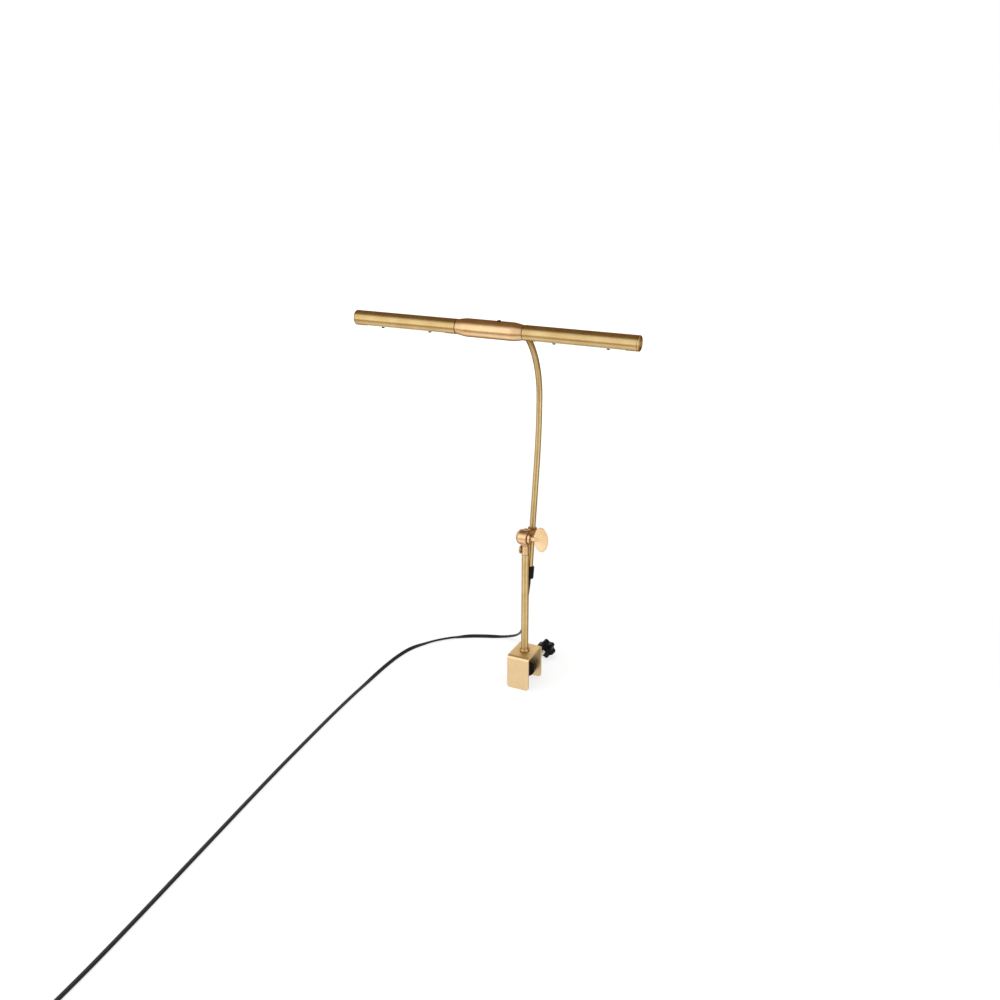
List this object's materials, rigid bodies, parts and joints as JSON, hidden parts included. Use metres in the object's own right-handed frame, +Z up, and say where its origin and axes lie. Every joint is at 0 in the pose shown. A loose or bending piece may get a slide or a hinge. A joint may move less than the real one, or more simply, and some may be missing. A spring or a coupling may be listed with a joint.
{
  "type": "clamp-on piano lamp",
  "caption": "Brass piano lamp that clamps to a board, with a locking pivot on its post, a swan-neck arm, a tubular light head with turning shades, a push button and a flat lead with plug.",
  "frame": {"origin": "middle of the fixed jaw's gripping face", "axes": "+Z up along the post; +Y from the fixed jaw towards the clamp screw; +X along the light head"},
  "size_m": [0.3828, 0.9493, 0.5319],
  "materials": {
    "brass_satin": "satin, lengthwise brushed, clear lacquered",
    "brass_rosy": "satin polished, rosier tone",
    "brass_pale": "pale satin gold plate",
    "steel": "bright zinc plated",
    "nickel_plate": "bright nickel plated",
    "rubber_black": "matt rubber",
    "plastic_black": "fine satin moulded plastic",
    "pvc_black": "soft satin cable sheath",
    "screw_black": "black oxide",
    "opal": "opal diffuser",
    "nylon": "natural nylon",
    "board_white": "white circuit board",
    "board_green": "green circuit board",
    "fibre": "vulcanised fibre"
  },
  "bodies": {
    "clamp": {"clamp_bracket": "brass_pale", "jaw_liner": "rubber_black", "thread_bush": "steel", "post_collar": "brass_pale", "post_tube": "brass_satin", "post_plug": "steel", "post_screw": "steel", "post_spigot": "steel", "cord_run": "pvc_black", "cord_coil": "pvc_black", "coil_tie": "plastic_black", "plug_body": "pvc_black", "plug_pin_left": "nickel_plate", "plug_pin_right": "nickel_plate"},
    "pad": {"pad_rubber": "rubber_black", "pad_cup": "plastic_black"},
    "spindle": {"clamp_spindle": "steel", "star_knob": "plastic_black"},
    "pivot": {"pivot_housing": "brass_rosy", "top_screw": "brass_rosy", "friction_washer": "fibre"},
    "lock_screw": {"swivel_lock_screw": "brass_rosy"},
    "thumb_screw": {"thumb_screw": "brass_rosy", "thumb_washer": "steel"},
    "lug": {"rod_lug": "brass_rosy"},
    "bush": {"rod_bush": "nylon"},
    "arm": {"arm_rod": "brass_satin", "cable_gland": "plastic_black", "centre_housing": "brass_rosy", "rod_nut": "steel", "switch_body": "plastic_black", "driver_board": "board_green"},
    "button": {"switch_button": "plastic_black"},
    "shade_left": {"swivel_sleeve_left": "plastic_black", "shade_tube_left": "brass_satin", "end_cap_left": "brass_rosy", "led_carrier_left": "steel", "led_board_left": "board_white", "diffuser_left": "opal", "cover_screw_left_inner": "screw_black", "cover_screw_left_outer": "screw_black"},
    "shade_right": {"swivel_sleeve_right": "plastic_black", "shade_tube_right": "brass_satin", "end_cap_right": "brass_rosy", "led_carrier_right": "steel", "led_board_right": "board_white", "diffuser_right": "opal", "cover_screw_right_inner": "screw_black", "cover_screw_right_outer": "screw_black"}
  },
  "joints": [
    {"name": "pad_travel", "type": "slide", "parent": "clamp", "child": "pad", "axis": [0, -1, 0], "range_m": [0, 0.027]},
    {"name": "spindle_turn", "type": "hinge", "parent": "pad", "child": "spindle", "pos_m": [0, 0.0997, -0.0075], "axis": [0, -1, 0], "range_deg": [0, 9720]},
    {"name": "post_swivel", "type": "hinge", "parent": "clamp", "child": "pivot", "pos_m": [0, 0.0187, 0.1745], "axis": [0, 0, 1], "range_deg": [-170, 170]},
    {"name": "lock_screw_turn", "type": "hinge", "parent": "pivot", "child": "lock_screw", "pos_m": [-0.0068, 0.0187, 0.1805], "axis": [-1, 0, 0], "range_deg": [0, 360]},
    {"name": "arm_tilt", "type": "hinge", "parent": "pivot", "child": "lug", "pos_m": [0, 0.0187, 0.1992], "axis": [1, 0, 0], "range_deg": [0, 70]},
    {"name": "thumb_screw_turn", "type": "hinge", "parent": "pivot", "child": "thumb_screw", "pos_m": [0.023, 0.0187, 0.1992], "axis": [1, 0, 0], "range_deg": [0, 180]},
    {"name": "rod_turn", "type": "hinge", "parent": "lug", "child": "bush", "pos_m": [0, 0.0407, 0.1992], "axis": [0, 0.1357, 0.9907], "range_deg": [-45, 45]},
    {"name": "rod_slide", "type": "slide", "parent": "bush", "child": "arm", "axis": [0, 0.1357, 0.9907], "range_m": [0, 0.04]},
    {"name": "button_press", "type": "slide", "parent": "arm", "child": "button", "axis": [0, 0, -1], "range_m": [0, 0.0008], "stiffness_N_per_m": 800, "springref_m": -0.0008},
    {"name": "shade_left_turn", "type": "hinge", "parent": "arm", "child": "shade_left", "pos_m": [-0.06, -0.08759, 0.49885], "axis": [1, 0, 0], "range_deg": [-60, 60]},
    {"name": "shade_right_turn", "type": "hinge", "parent": "arm", "child": "shade_right", "pos_m": [0.06, -0.08759, 0.49885], "axis": [1, 0, 0], "range_deg": [-60, 60]}
  ],
  "couplings": [
    {"joint": "spindle_turn", "follows": "pad_travel", "rad_per_m": 6283.2}
  ]
}
